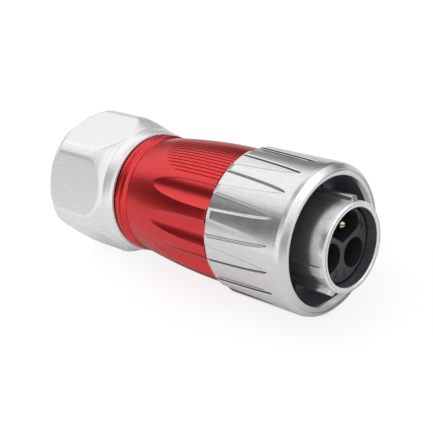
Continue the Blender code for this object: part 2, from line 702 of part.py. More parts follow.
finger_r = SEAL_R + 0.25 * mm + CAGE_FINGER_T
cone_r = finger_r + GAP
cage_end = NUT_END + 3.6 * mm
washer_front = cage_end - GAP
nut_wall = washer_front - WASHER_T - GAP
gland_nut = turned("gland_nut", [
    (NUT_RECESS_R, NUT_FRONT - 0.15 * mm),
    (NUT_RECESS_R + 0.3 * mm, NUT_FRONT),
    (NUT_COLLAR_R - 0.2 * mm, NUT_FRONT - 0.8 * mm),
    (NUT_COLLAR_R, NUT_FRONT - 2.1 * mm),
    (NUT_NECK_R, NUT_FRONT - 3.4 * mm),
    (NUT_FLAT + 0.05 * mm, NUT_FRONT - 4.0 * mm),
    (NUT_FLAT + 0.7 * mm, NUT_FRONT - 5.3 * mm),
    (NUT_CORNER_R - 0.35 * mm, NUT_FRONT - 6.8 * mm),
    (NUT_CORNER_R, NUT_FRONT - 8.4 * mm),
    (NUT_CORNER_R, NUT_END + 3.7 * mm),
    (NUT_CORNER_R - 0.5 * mm, NUT_END + 2.4 * mm),
    (NUT_FLAT + 0.35 * mm, NUT_END + 1.2 * mm),
    (NUT_FLAT - 1.0 * mm, NUT_END + 0.3 * mm),
    (NUT_FLAT - 2.4 * mm, NUT_END),
    (NUT_OPENING_R + 0.5 * mm, NUT_END),
    (NUT_OPENING_R, NUT_END + 0.5 * mm),
    (NUT_OPENING_R, nut_wall),
    (cone_r, nut_wall),
    (cone_r + 0.9 * mm, BODY_THREAD_END - 1.9 * mm),
    (BODY_THREAD_R + GAP, BODY_THREAD_END - 1.9 * mm),
    (BODY_THREAD_R + GAP, NUT_FRONT - NUT_RECESS),
    (NUT_RECESS_R, NUT_FRONT - NUT_RECESS),
], STEPS_NUT, PALE_SILVER)

hexagon = [polar(NUT_FLAT / math.cos(30 * deg), NUT_PHASE + i * 60 * deg) for i in range(6)]
shape(gland_nut, prism("hexagon", hexagon, NUT_END - 1 * mm, NUT_FRONT + 1 * mm), "INTERSECT")
smooth(gland_nut, 24)


# Cable seal, clamp cage and slip washer inside the gland nut

cable_seal = turned("cable_seal", [
    (SEAL_BORE_R + 0.6 * mm, SEAL_FRONT),
    (SEAL_R - 0.8 * mm, SEAL_FRONT),
    (SEAL_R, SEAL_FRONT - 1.6 * mm),
    (SEAL_R, cage_end + 0.6 * mm),
    (SEAL_R - 0.6 * mm, cage_end),
    (SEAL_BORE_R + 0.6 * mm, cage_end),
    (SEAL_BORE_R, cage_end + 0.8 * mm),
    (SEAL_BORE_R, SEAL_FRONT - 0.8 * mm),
], STEPS_INNER, RUBBER)
smooth(cable_seal)

cage_inner = SEAL_R + 0.25 * mm
cage_front = BODY_THREAD_END - GAP
clamp_cage = turned("clamp_cage", [
    (cage_inner, cage_front),
    (BODY_THREAD_R - 0.3 * mm, cage_front),
    (BODY_THREAD_R - 0.3 * mm, cage_front - 1.2 * mm),
    (finger_r, cage_front - 1.2 * mm),
    (finger_r, cage_end + 0.5 * mm),
    (finger_r - 0.4 * mm, cage_end),
    (cage_inner, cage_end),
], STEPS_INNER, CAGE_PLASTIC)
slit = bmesh.new()
bmesh.ops.create_cube(slit, size=1.0)
slit_top = cage_front - 2.2 * mm
bmesh.ops.scale(slit, verts=slit.verts, vec=(4 * mm, CAGE_SLIT, slit_top - cage_end + 1 * mm))
bmesh.ops.translate(slit, verts=slit.verts,
                    vec=(cage_inner + 0.5 * mm, 0, (slit_top + cage_end - 1 * mm) / 2))
slit_mesh = bpy.data.meshes.new("slit")
slit.to_mesh(slit_mesh)
slit.free()
slit_turns = [i * math.tau / CAGE_FINGERS for i in range(CAGE_FINGERS)]
shape(clamp_cage, around("slits", add("slit", slit_mesh, None, cutters), slit_turns))
smooth(clamp_cage)

slip_washer = turned("slip_washer", [
    (cone_r - GAP, washer_front),
    (cone_r - GAP, washer_front - WASHER_T),
    (SEAL_BORE_R + 0.5 * mm, washer_front - WASHER_T),
    (SEAL_BORE_R + 0.5 * mm, washer_front),
], STEPS_INNER, CAGE_PLASTIC)
smooth(slip_washer)


# Lay the plug down: one flat of the nut and the ring's rear edge touch the table

tilt = math.atan2(RING_R - NUT_FLAT, (BACK + 0.5 * mm) - NUT_FLAT_END)
down_flat = NUT_PHASE + 270 * deg       # middle of the flat that faces the table
roll = 270 * deg - down_flat
to_world = Matrix(((0, 0, 1), (1, 0, 0), (0, 1, 0)))
lie = Matrix.Rotation(-tilt, 3, "Y") @ Matrix.Rotation(roll, 3, "X") @ to_world

plug_axis = bpy.data.objects.new("plug_axis", None)
plug_axis.empty_display_size = 20 * mm
parts.objects.link(plug_axis)
plug_axis.rotation_euler = lie.to_euler()
for thing in list(parts.objects) + list(cutters.objects):
    if thing is not plug_axis:
        thing.parent = plug_axis

bpy.context.view_layer.update()
corners = [thing.matrix_world @ v.co
           for thing in parts.objects if thing.type == "MESH" for v in thing.data.vertices]
low = Vector([min(c[i] for c in corners) for i in range(3)])
high = Vector([max(c[i] for c in corners) for i in range(3)])
plug_axis.location = (-(low.x + high.x) / 2, -(low.y + high.y) / 2, -low.z)
bpy.context.view_layer.update()
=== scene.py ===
"""Looks of the circular power plug: finer visible pieces, materials, camera, floor and light.

Pieces are drawn in millimetres about the plug's own axis: z points out of the mating end with
0 at the coupling ring's front face, and angles run from local x towards local y, in degrees.
"""

import math

import bmesh
import bpy
import numpy as np
from mathutils import Matrix, Vector


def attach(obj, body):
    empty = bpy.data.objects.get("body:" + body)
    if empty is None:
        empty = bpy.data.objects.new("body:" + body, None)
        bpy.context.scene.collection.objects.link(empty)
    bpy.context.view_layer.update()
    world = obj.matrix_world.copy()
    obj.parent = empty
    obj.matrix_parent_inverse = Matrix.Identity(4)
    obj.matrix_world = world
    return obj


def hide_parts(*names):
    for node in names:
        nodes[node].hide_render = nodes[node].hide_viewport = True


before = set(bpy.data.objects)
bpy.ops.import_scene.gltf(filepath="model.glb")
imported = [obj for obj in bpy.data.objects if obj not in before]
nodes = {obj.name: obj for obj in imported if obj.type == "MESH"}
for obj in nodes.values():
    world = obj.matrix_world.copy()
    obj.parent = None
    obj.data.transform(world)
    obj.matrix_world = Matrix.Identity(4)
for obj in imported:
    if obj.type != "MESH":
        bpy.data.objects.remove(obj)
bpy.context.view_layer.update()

MM = 0.001
DEG = math.radians(1.0)

# Where the plug's own axis lies, nose up a little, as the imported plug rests
AXIS_AT = Vector((0.0367588, 0.0, 0.017716))
NOSE_UP = 1.37361 * DEG
ROLL = -21.5 * DEG
LIE = (Matrix.Rotation(-NOSE_UP, 4, "Y") @ Matrix.Rotation(ROLL, 4, "X")
       @ Matrix(((0, 0, 1, 0), (1, 0, 0, 0), (0, 1, 0, 0), (0, 0, 0, 1))))
AXIS = Matrix.Translation(AXIS_AT) @ LIE

# Camera at the photo's angle, as fitted to the circles of the ring, sleeve and beads
CAMERA_AT = (0.155731, -0.126068, 0.147285)
CAMERA_RIGHT = (0.728571, 0.643063, -0.235912)
CAMERA_UP = (-0.232954, 0.556504, 0.797518)
CAMERA_BACK = (0.644141, -0.526092, 0.555257)
FOCAL = 1000.0              # in pixels
PHOTO = 433.0               # pixels along each side of the photo

# Coupling ring
RING_R = 17.2
RING_BORE_R = 14.156
RING_MOUTH_R = 14.706       # where the bore's chamfer meets the front face
RING_BACK = -22.25
RING_BEVEL = (0.4, 1.35)    # depth and length at the rear of the lands
SNAP_GROOVE_R = 14.906
SNAP_GROOVE = (-20.25, -21.55)      # its front and rear
FLUTES = 18
SECTOR = 360.0 / FLUTES
FLUTE_PHASE = 12.0
FLUTE_TIP = -4.1
FLUTE_HALF = 7.05           # half width at the rear of the ring, in degrees
FLUTE_LEAST = 0.35          # the same near the tip, where the columns stop closing in
FLUTE_DEPTH = 0.56          # at the middle of the nearly flat floor
FLUTE_WALL = (              # millimetres in from the edge, share of the depth
    (-0.1, 0.0), (-0.04, 0.01), (0.02, 0.04), (0.13, 0.15), (0.24, 0.27), (0.255, 0.55),
    (0.275, 0.86), (0.48, 0.97), (0.58, 1.0),
)
STEEP = (0.235, 0.28)       # the part of the wall painted dark, as painted shade along the flutes
LUGS = 3
LUG_R = 12.51
LUG_FRONT, LUG_REAR = -9.7, -12.2
LUG_START, LUG_SWEEP = 29.0, 92.0
TOOTH_R = 12.89
TOOTH_FRONT, TOOTH_REAR = -17.1, -18.7
TOOTH_START, TOOTH_SWEEP = 191.0, 10.0

# Front shell
SLEEVE_R = 10.148
SLEEVE_BORE_R = 8.798
SLEEVE_FRONT = 5.55
KEY_R = 11.198
TOP_KEY_AT = 86.0
TOP_KEY = (                 # degrees from its middle, share of its height
    (0.0, 1.0), (3.7, 1.0), (3.85, 0.995), (4.6, 0.86), (4.7, 0.8), (4.78, 0.6), (4.9, 0.12),
    (5.2, 0.0),
)
SIDE_KEY = (                # angle, share of its height
    (230.4, 0.0), (230.8, 0.12), (233.4, 0.78), (233.9, 0.9), (234.4, 0.995), (234.6, 1.0),
    (240.2, 1.0), (240.7, 0.9), (241.1, 0.15), (241.4, 0.0),
)
KEY_END = ((-5.0, 0.0), (-4.64, 0.95), (-4.6, 0.99), (-4.5, 1.0))   # minus z, share of the height
KEYS_REAR = -14.45
PAD_AT, PAD_HALF, PAD_EDGE, PAD_HEIGHT = 198.5, 7.5, 0.6, 0.35
FLANGE_FRONT, FLANGE_REAR = -16.8, -19.0
FLANGE_R = 13.595
SPIGOT_R = 12.392
NOTCH = (189.5, 247.5)      # gap in the flange, where the stop tooth travels
NOTCH_R = SPIGOT_R + 0.15
SPIGOT_END = -33.3
O_RING_GROOVE_R = 10.716
O_RING_GROOVE = (-25.0, -27.4)
POCKET_R = 9.998
POCKET_FRONT = -17.6
CLIP_GROOVE_R = 11.003
CLIP_GROOVE = (-29.55, -30.85)

# Insulator and pins
FACE = 2.8
INSULATOR_R = SLEEVE_BORE_R - 0.38
INSULATOR_STEP = -17.9
INSULATOR_END = -19.0
INSULATOR_REAR_R = POCKET_R - 0.3
WELL_R = 3.396
WELL_FLOOR = -14.0
POLES = ((86.0, 4.399), (206.0, 4.751), (326.0, 4.751))     # angle and distance
PIN_R = 0.9
PIN_TIPS = (2.6, -3.5, -3.5)
PIN_SLOT = (0.13, 2.2)      # half its width, its depth
COLLAR_R = 3.097
COLLAR_FRONT, COLLAR_REAR = -19.6, -20.8
TAIL_R = 2.402
TAIL_END = -37.0
WIRE_BORE_R = 1.345
SCREW_HOLE_R = 1.14
SCREW_AT = -34.4
NUMBERS = (                 # text, x, y, turn, height
    ("1", 0.75, -6.65, 0.0, 2.3), ("2", -2.15, -6.2, -22.0, 2.3), ("3", 6.15, 3.2, 28.0, 2.5),
)

# Back shell
BODY_R = 16.05
BODY_FRONT = -23.3
BODY_END = -54.45
BEAD_R = 14.62
JOINT_BORE_R = 10.48        # where the barrel meets the beads
THREAD_R = 12.45
CAVITY_R = 11.6
CAVITY_FRONT = -34.5
TAIL_BORE_R = 9.6
BARREL = (                  # z, share of the barrel's radius
    (-23.3, 1.0), (-24.1, 1.0), (-30.5, 0.998), (-36.0, 0.983), (-41.5, 0.956),
    (-46.5, 0.923), (-50.7, 0.888),
)
BARREL_END = -50.95
FLAMES = (149.5, 179.5, 209.5, 329.5, 359.5, 29.5)
FLAME_TIP = -42.2
FLAME_DEPTH = 1.1
FLAME_HALF_WIDTH = 4.3
FLAME_ARCH = 3.5
FLAME_SECTOR = 15.0         # half of what the columns of one flame take up
GRIPS = (89.6, 269.6)
GRIP_GROOVES = 13           # on each side of the middle one
GRIP_PITCH = 3.38
GRIP_HALF = 0.5
GRIP_DEPTH = 0.3
GRIP_TIP = -46.2
GRIP_REACH = 11.0
GROOVE_SPOTS = (-1.69, -0.6, -0.5, -0.42, -0.24, 0.0, 0.24, 0.42, 0.5, 0.6)

# Gland nut
NUT_FRONT = -55.0
NUT_END = -79.0
NUT_CORNER_R = 17.5
NUT_FLAT = 15.85
NUT_FLATS = 6
NUT_PHASE = 21.5
NUT_EDGE = 0.3              # rounding between flats, corner bands and chamfers
NUT_NECK_R = 14.3
NUT_BORE_R = 7.4
NUT_THREAD_R = 12.75
NUT_SEAT_REAR, NUT_SEAT_FRONT = -76.8, -67.9
NUT_INNER = 8               # points of its outline that lie inside it

# Light
SENSOR = 36.0
KEY_POWER = 2.4
PAPER_GLOW = 0.82
PAPER_SHADE = 0.3           # share of its shading that the camera sees
ROOM_LIGHT = 0.7
ROOM_MIRRORED = 1.2
SPOTS = (                   # azimuth, elevation, inner and outer half angle, share taken away
    (-120.0, 52.0, 4.0, 25.0, 0.62),        # grey card to the left of the camera
    (-138.0, 28.0, 5.0, 25.0, 0.58),
    (-149.0, 22.0, 5.0, 26.0, 0.72),
    (110.0, 14.0, 6.0, 30.0, 0.78),         # dark room behind the table
    (76.0, 2.0, 5.0, 26.0, 0.82),
    (132.0, 4.0, 6.0, 24.0, 0.6),
    (162.0, 5.0, 8.0, 24.0, 0.6),
    (50.0, 6.0, 4.0, 15.0, 0.7),
    (-27.0, 8.0, 6.0, 28.0, 0.60),          # beside the camera
    (150.0, 76.0, 6.0, 21.0, 0.48),         # gap between the two soft boxes overhead
    (160.0, 40.0, 8.0, 28.0, -0.1),         # far soft box, which adds light
    (-8.0, 60.0, 4.0, 20.0, -0.5),          # small lamp
    (36.0, 40.0, 14.0, 30.0, -0.20),        # nearer soft box and its middle
    (34.0, 38.0, 10.0, 22.0, -0.30),
)


# Shapes

def polar(radius, angle):
    """Local x and y of a point."""
    return radius * math.cos(angle * DEG), radius * math.sin(angle * DEG)


def radial(at):
    """Distance from the plug's axis."""
    return math.hypot(at.x, at.y)


def rounded(corners, segments=4):
    """Points of a closed outline of (radius, z, fillet) corners, with each corner rounded."""
    path = []
    for i, (r, z, fillet) in enumerate(corners):
        here = np.array((r, z))
        before = np.array(corners[i - 1][:2]) - here
        after = np.array(corners[(i + 1) % len(corners)][:2]) - here
        to_before = before / np.linalg.norm(before)
        to_after = after / np.linalg.norm(after)
        half = math.acos(np.clip(to_before @ to_after, -1.0, 1.0)) / 2
        if fillet == 0 or half > 88 * DEG:
            path.append(here)
            continue
        longest = 0.45 * min(np.linalg.norm(before), np.linalg.norm(after))
        reach = min(fillet / math.tan(half), longest)
        bend = reach * math.tan(half)
        middle = to_before + to_after
        centre = here + middle / np.linalg.norm(middle) * bend / math.sin(half)
        start = here + to_before * reach - centre
        end = here + to_after * reach - centre
        span = math.pi - 2 * half
        for k in range(segments + 1):
            way = k / segments
            mixed = math.sin((1 - way) * span) * start + math.sin(way * span) * end
            path.append(centre + mixed / math.sin(span))
    return np.array(path)


def dense(path, step, closed=True):
    """The same outline with its long segments cut into steps."""
    ahead = np.roll(path, -1, axis=0) if closed else path[1:]
    points = []
    for a, b in zip(path, ahead):
        cuts = max(1, math.ceil(np.linalg.norm(b - a) / step))
        points += [a + (b - a) * k / cuts for k in range(cuts)]
    if not closed:
        points.append(path[-1])
    return np.array(points)


def soft_min(a, b, width):
    """The smaller of two heights, with a rounded edge where they meet."""
    way = np.clip(0.5 + 0.5 * (b - a) / width, 0.0, 1.0)
    return b + (a - b) * way - width * way * (1 - way)


def ramp(value, start, end):
    """0 at start, 1 at end, smooth between."""
    way = np.clip((value - start) / (end - start), 0.0, 1.0)
    return way * way * (3 - 2 * way)


def spread(turns, path):
    """Arrays [turn, point] of radius, angle and height, for a (radius, z) outline at each turn."""
    angle, radius = np.meshgrid(turns, path[:, 0], indexing="ij")
    height = np.repeat(path[None, :, 1], len(turns), axis=0)
    return radius, angle, height


def finish_mesh(thing, sharp):
    """Smooth shading, but for edges sharper than so many degrees."""
    thing.data.shade_smooth()
    thing.data.set_sharp_from_angle(angle=sharp * DEG)
    return thing


def solid(name, radius, angle, height, look, sharp=40, around=True, weld=False):
    """A closed piece from arrays [column, row] of radius, angle and height; rows form a loop."""
    columns, rows = radius.shape
    turn = np.radians(angle)
    points = np.stack((radius * np.cos(turn), radius * np.sin(turn), height), -1).reshape(-1, 3)
    column = np.arange(columns if around else columns - 1)[:, None]
    row = np.arange(rows)[None, :]
    ahead = (column + 1) % columns
    below = (row + 1) % rows
    faces = np.stack((column * rows + row, ahead * rows + row, ahead * rows + below,
                      column * rows + below), -1).reshape(-1, 4)
    a, b, c, d = (points[faces[:, k]] for k in range(4))
    volume = np.einsum("ij,ij->i", a, np.cross(b, c) + np.cross(c, d)).sum()
    if volume < 0:
        faces = faces[:, ::-1]
    mesh = bpy.data.meshes.new(name)
    loops = faces.tolist()
    if not around:
        first = list(range(rows))
        last = list(range((columns - 1) * rows, columns * rows))
        loops += [first[::-1], last] if volume < 0 else [first, last[::-1]]
    mesh.from_pydata((points * MM).tolist(), [], loops)
    if weld or not around:
        bm = bmesh.new()
        bm.from_mesh(mesh)
        bmesh.ops.remove_doubles(bm, verts=bm.verts, dist=1e-7)
        bmesh.ops.recalc_face_normals(bm, faces=bm.faces)
        bm.to_mesh(mesh)
        bm.free()
    mesh.materials.append(look.material)
    thing = bpy.data.objects.new(name, mesh)
    bpy.context.scene.collection.objects.link(thing)
    return finish_mesh(thing, sharp)


def true_normals(thing, turned):
    """Exact radial normals at the points that a test of (radius, z) in millimetres picks."""
    points = np.empty(len(thing.data.vertices) * 3)
    thing.data.vertices.foreach_get("co", points)
    points = points.reshape(-1, 3) / MM
    radius = np.hypot(points[:, 0], points[:, 1])
    normals = np.zeros_like(points)
    on = turned(radius, points[:, 2])
    normals[on, :2] = points[on, :2] / radius[on, None]
    thing.data.normals_split_custom_set_from_vertices(normals.tolist())


def lathe(name, corners, look, steps=144, segments=4, start=0.0, sweep=360.0):
    """A turned piece, or a sector of one."""
    path = rounded(corners, segments)
    around = sweep >= 360.0
    turns = start + sweep * np.arange(steps if around else steps + 1) / steps
    return solid(name, *spread(turns, path), look, around=around, weld=path[:, 0].min() <= 0)


def loft(name, outlines):
    """A cutter from (outline, z) pairs of equal point counts."""
    bm = bmesh.new()
    rings = [[bm.verts.new((x * MM, y * MM, z * MM)) for x, y in outline]
             for outline, z in outlines]
    for ring, ahead in zip(rings, rings[1:]):
        for i in range(len(ring)):
            bm.faces.new((ring[i - 1], ring[i], ahead[i], ahead[i - 1]))
    bm.faces.new(rings[0])
    bm.faces.new(rings[-1])
    bmesh.ops.recalc_face_normals(bm, faces=bm.faces)
    mesh = bpy.data.meshes.new(name)
    bm.to_mesh(mesh)
    bm.free()
    thing = bpy.data.objects.new(name, mesh)
    bpy.context.scene.collection.objects.link(thing)
    return thing


def bored(target, tools):
    """Cut with tools that are then removed."""
    for tool in tools:
        step = target.modifiers.new("bore", "BOOLEAN")
        step.operation = "DIFFERENCE"
        step.solver = "EXACT"
        step.object = tool
    bpy.context.view_layer.update()
    seen = target.evaluated_get(bpy.context.evaluated_depsgraph_get())
    mesh = bpy.data.meshes.new_from_object(seen)
    target.modifiers.clear()
    target.data = mesh
    for tool in tools:
        bpy.data.objects.remove(tool, do_unlink=True)
    finish_mesh(target, 40)


def paint_faces(thing, look, faces):
    """Give another material to the faces of these numbers."""
    thing.data.materials.append(look.material)
    for face in faces:
        thing.data.polygons[face].material_index = len(thing.data.materials) - 1


def paint(thing, look, chosen):
    """Give another material to the faces that a test of (centre, normal) picks, in millimetres."""
    paint_faces(thing, look, [face.index for face in thing.data.polygons
                              if chosen(face.center / MM, face.normal)])


def place(thing, body, slot, *replaced):
    """Lay a piece along the plug's axis, with its place in its mesh, and hand it to its body."""
    bpy.context.view_layer.update()
    thing.data.transform(AXIS @ thing.matrix_world)
    thing.matrix_world = Matrix.Identity(4)
    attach(thing, body)
    if replaced:
        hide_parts(*replaced)


# Materials

TITLES = {"coat_ior": "Coat IOR"}       # inputs whose title has more than first capitals


class Look:
    """A node material with helpers for its links."""

    def __init__(self, name, color, metallic, roughness, **more):
        self.material = bpy.data.materials.new(name)
        self.material.use_nodes = True
        self.tree = self.material.node_tree
        self.shader = self.tree.nodes["Principled BSDF"]
        self.fill(self.shader, base_color=(*color, 1.0), metallic=metallic, roughness=roughness,
                  **more)
        self.material.diffuse_color = (*color, 1.0)
        self.color = color

    def fill(self, node, **inputs):
        for key, value in inputs.items():
            title = TITLES.get(key, key.replace("_", " ").title())
            node.inputs[title].default_value = value

    def node(self, kind, **inputs):
        made = self.tree.nodes.new("ShaderNode" + kind)
        self.fill(made, **inputs)
        return made

    def link(self, source, target):
        self.tree.links.new(source, target)

    def noise(self, feature, detail=3.0, rough=0.55, stretch=(1.0, 1.0, 1.0)):
        """Noise whose blotches are about so many millimetres wide."""
        place_of = self.node("TexCoord")
        scale = self.node("Mapping", scale=stretch)
        made = self.node("TexNoise", scale=1.0 / (feature * MM), detail=detail, roughness=rough)
        self.link(place_of.outputs["Object"], scale.inputs["Vector"])
        self.link(scale.outputs[0], made.inputs["Vector"])
        return made.outputs[0]

    def vary_roughness(self, fac, low, high):
        made = self.node("MapRange", from_min=0.3, from_max=0.7, to_min=low, to_max=high)
        self.link(fac, made.inputs["Value"])
        self.link(made.outputs[0], self.shader.inputs["Roughness"])

    def vary_color(self, fac, low, high):
        """Blend the colour between two shades of itself."""
        made = self.node("ValToRGB")
        for element, share, at in zip(made.color_ramp.elements, (low, high), (0.35, 0.65)):
            element.color = (*[min(c * share, 1.0) for c in self.color], 1.0)
            element.position = at
        self.link(fac, made.inputs[0])
        self.link(made.outputs[0], self.shader.inputs["Base Color"])

    def bump(self, fac, depth):
        """Relief of so many millimetres."""
        made = self.node("Bump", strength=1.0, distance=depth * MM)
        self.link(fac, made.inputs["Height"])
        self.link(made.outputs[0], self.shader.inputs["Normal"])


silver = Look("satin_nickel", (0.83, 0.83, 0.825), 1.0, 0.25)
silver.vary_roughness(silver.noise(2.5, 4.0), 0.2, 0.27)
silver.vary_color(silver.noise(0.5, 5.0, 0.65, (0.12, 1.0, 1.0)), 0.95, 1.03)
silver.bump(silver.noise(0.22, 2.0), 0.003)

sleeve_silver = Look("sleeve_nickel", (0.8, 0.805, 0.82), 0.95, 0.2)
sleeve_silver.vary_roughness(sleeve_silver.noise(2.2, 3.0), 0.19, 0.23)
sleeve_silver.vary_color(sleeve_silver.noise(1.2, 4.0, 0.6), 0.93, 1.03)
sleeve_silver.bump(sleeve_silver.noise(0.25, 2.0), 0.002)

rim_silver = Look("turned_rim", (0.98, 0.985, 0.99), 0.45, 0.26)
rim_silver.vary_roughness(rim_silver.noise(0.8, 3.0), 0.24, 0.28)
rim_silver.vary_color(rim_silver.noise(1.2, 4.0, 0.6), 0.95, 1.01)

blasted = Look("blasted_nickel", (0.97, 0.97, 0.97), 0.6, 0.3)
blasted.vary_roughness(blasted.noise(0.3, 2.0), 0.25, 0.33)
blasted.vary_color(blasted.noise(0.4, 3.0, 0.7), 0.95, 1.02)
blasted.bump(blasted.noise(0.4, 3.0, 0.6), 0.014)

red = Look("red_anodised", (0.77, 0.014, 0.018), 1.0, 0.36, coat_weight=0.65, coat_roughness=0.15,
           coat_ior=1.7, specular_tint=(0.8, 0.2, 0.2, 1.0))
red.vary_roughness(red.noise(0.4, 3.0), 0.2, 0.3)
red.vary_color(red.noise(0.3, 3.0, 0.7), 0.84, 1.1)
red.bump(red.noise(0.24, 3.0, 0.65), 0.01)

plastic = Look("dark_plastic", (0.058, 0.058, 0.064), 0.0, 0.5)
plastic.vary_roughness(plastic.noise(0.6, 3.0), 0.42, 0.58)
plastic.vary_color(plastic.noise(0.35, 4.0, 0.7), 0.82, 1.15)
plastic.bump(plastic.noise(0.2, 3.0), 0.008)

# Near-black painted shade for the insides of the wells, the sleeve's bore behind the face and the
# pin slots
recess_shade = Look("painted_shade_in_recesses", (0.012, 0.012, 0.014), 0.0, 0.6)
recess_shade.vary_roughness(recess_shade.noise(0.6, 3.0), 0.5, 0.7)
recess_shade.vary_color(recess_shade.noise(0.6, 3.0), 0.8, 1.2)

# Bore metal made darker as painted shade, used inside the ring and the sleeve and on the top key's
# front face
bore = Look("machined_bore_painted_shade", (0.28, 0.3, 0.33), 0.78, 0.32)
bore.vary_roughness(bore.noise(1.2, 3.0), 0.28, 0.42)
bore.vary_color(bore.noise(1.5, 3.0), 0.85, 1.1)
bore.bump(bore.noise(0.6), 0.004)

# Painted shade: dark metal laid on the steep flute walls, to draw the flutes' dark lines
wall_shade = Look("flute_wall_painted_shade", (0.12, 0.12, 0.125), 1.0, 0.4)
wall_shade.vary_roughness(wall_shade.noise(0.5), 0.34, 0.48)
wall_shade.vary_color(wall_shade.noise(0.5), 0.85, 1.15)

ink = Look("number_ink", (0.002, 0.002, 0.002), 0.0, 0.8)
ink.vary_roughness(ink.noise(0.2), 0.6, 0.8)
ink.vary_color(ink.noise(0.2), 0.8, 1.2)

# Black rubber for the gaskets and seals, also painted on the barrel's front face as shade in the
# gap
rubber_and_gap_shade = Look("black_rubber", (0.012, 0.012, 0.013), 0.0, 0.65)
rubber_and_gap_shade.vary_roughness(rubber_and_gap_shade.noise(0.8), 0.55, 0.75)
rubber_and_gap_shade.vary_color(rubber_and_gap_shade.noise(0.5, 4.0), 0.8, 1.25)
rubber_and_gap_shade.bump(rubber_and_gap_shade.noise(0.3, 3.0), 0.01)

gold = Look("gold_plate", (1.0, 0.76, 0.38), 1.0, 0.2)
gold.vary_roughness(gold.noise(0.5), 0.16, 0.26)
gold.vary_color(gold.noise(0.5, 4.0), 0.9, 1.0)
gold.bump(gold.noise(0.3), 0.002)

steel = Look("spring_steel", (0.5, 0.5, 0.51), 1.0, 0.3)
steel.vary_roughness(steel.noise(0.6), 0.24, 0.38)
steel.vary_color(steel.noise(0.5, 4.0), 0.9, 1.08)
steel.bump(steel.noise(0.4, 3.0), 0.004)

cage_plastic = Look("cage_plastic", (0.10, 0.10, 0.11), 0.0, 0.5)
cage_plastic.vary_roughness(cage_plastic.noise(0.8), 0.42, 0.58)
cage_plastic.vary_color(cage_plastic.noise(0.4, 4.0), 0.85, 1.15)
cage_plastic.bump(cage_plastic.noise(0.25), 0.006)

finish = {
    "coupling_ring": silver, "front_shell": sleeve_silver, "gland_nut": blasted,
    "back_shell": red, "insulator_front": plastic, "insulator_rear": plastic,
    "contact_1": gold, "contact_2": gold, "contact_3": gold,
    "face_gasket": rubber_and_gap_shade, "shell_o_ring": rubber_and_gap_shade, "nut_gasket": rubber_and_gap_shade, "cable_seal": rubber_and_gap_shade,
    "clamp_cage": cage_plastic, "slip_washer": cage_plastic,
}
for name, node in nodes.items():
    node.data.materials.clear()
    node.data.materials.append(finish.get(name, steel).material)


# Coupling ring: columns follow the edges of the eighteen pointed flutes

front_corners = [
    (RING_BORE_R, -1.05, 0.1), (RING_MOUTH_R, 0.0, 0.1), (RING_R - 1.34, 0.0, 0.0),
    (RING_R - 1.32, -0.2, 0.0), (RING_R - 1.19, -0.2, 0.0), (RING_R - 1.17, 0.0, 0.03),
    (RING_R - 0.22, -1.0, 0.06), (RING_R, -1.9, 0.3), (RING_R, -2.6, 0.0),
]
rear_corners = [
    (RING_R, RING_BACK + RING_BEVEL[1] + 0.5, 0.0), (RING_R, RING_BACK + RING_BEVEL[1], 0.06),
    (RING_R - RING_BEVEL[0], RING_BACK, 0.06), (RING_BORE_R, RING_BACK, 0.1),
    (RING_BORE_R, SNAP_GROOVE[1], 0.0), (SNAP_GROOVE_R, SNAP_GROOVE[1], 0.0),
    (SNAP_GROOVE_R, SNAP_GROOVE[0], 0.0), (RING_BORE_R, SNAP_GROOVE[0], 0.0),
]
ring_path = dense(rounded(front_corners + rear_corners), 1.6)
straight = np.abs(ring_path[:, 0] - RING_R) < 1e-6
first, last = np.flatnonzero(straight)[[0, -1]]
z_from, z_to = ring_path[first, 1], ring_path[last, 1]
stations = [FLUTE_TIP - s for s in (-0.6, 0.0, 0.02, 0.06, 0.12, 0.2, 0.32, 0.46, 0.62, 0.8)]
stations += list(np.arange(FLUTE_TIP - 1.0, z_to + 0.1, -0.2))
land = np.array([(RING_R, z) for z in [z_from, *stations, z_to]])
ring_path = np.concatenate((ring_path[:first], land, ring_path[last + 1:]))

way = np.clip((ring_path[:, 1] - FLUTE_TIP) / (RING_BACK - FLUTE_TIP), 0.0, 1.0)
edge = np.where(way > 0, FLUTE_HALF * np.sqrt(way), -1.0)      # half width at each row, degrees
edge_at = np.maximum(edge, FLUTE_LEAST)
per_degree = RING_R * DEG                                      # millimetres
wall_in, wall_share = np.array(FLUTE_WALL).T
squeeze = np.minimum(1.0, 0.8 * edge_at * per_degree / wall_in[-1])
wall_spots = [edge_at - at * squeeze / per_degree for at in wall_in[::-1]]
spots = [wall_spots[0] * share for share in (0.0, 0.4, 0.8)] + wall_spots
spots += [wall_spots[-1] + (SECTOR / 2 - wall_spots[-1]) * share
          for share in (0.1, 0.35, 0.7, 1.0)]
half_sector = np.array(spots)
sector_angles = np.concatenate((-half_sector[:0:-1][1:], half_sector))
ring_angle = np.concatenate([FLUTE_PHASE + SECTOR * k + sector_angles for k in range(FLUTES)])
inside = (edge_at[None, :] - np.abs(sector_angles)) * per_degree / squeeze[None, :]
sunk = np.interp(inside, wall_in, wall_share)
flat_floor = RING_R - (RING_R - FLUTE_DEPTH) / np.cos(0.6 * np.abs(sector_angles) * DEG)
cut = np.tile(sunk * np.maximum(flat_floor, 0.3), (FLUTES, 1))
fluted = (ring_path[:, 0] > RING_BORE_R + 1.5) & (edge > 0)
ring_radius, _, ring_height = spread(ring_angle[:, 0], ring_path)
ring_radius = np.where(fluted, np.minimum(ring_radius, RING_R - cut), ring_radius)
coupling = solid("coupling_ring_fluted", ring_radius, ring_angle, ring_height, silver, sharp=35)
# The ring's bore takes the darker bore metal: painted shade inside the ring
paint(coupling, bore, lambda at, out: radial(at) < RING_BORE_R + 0.3 and at.z < -1.2)
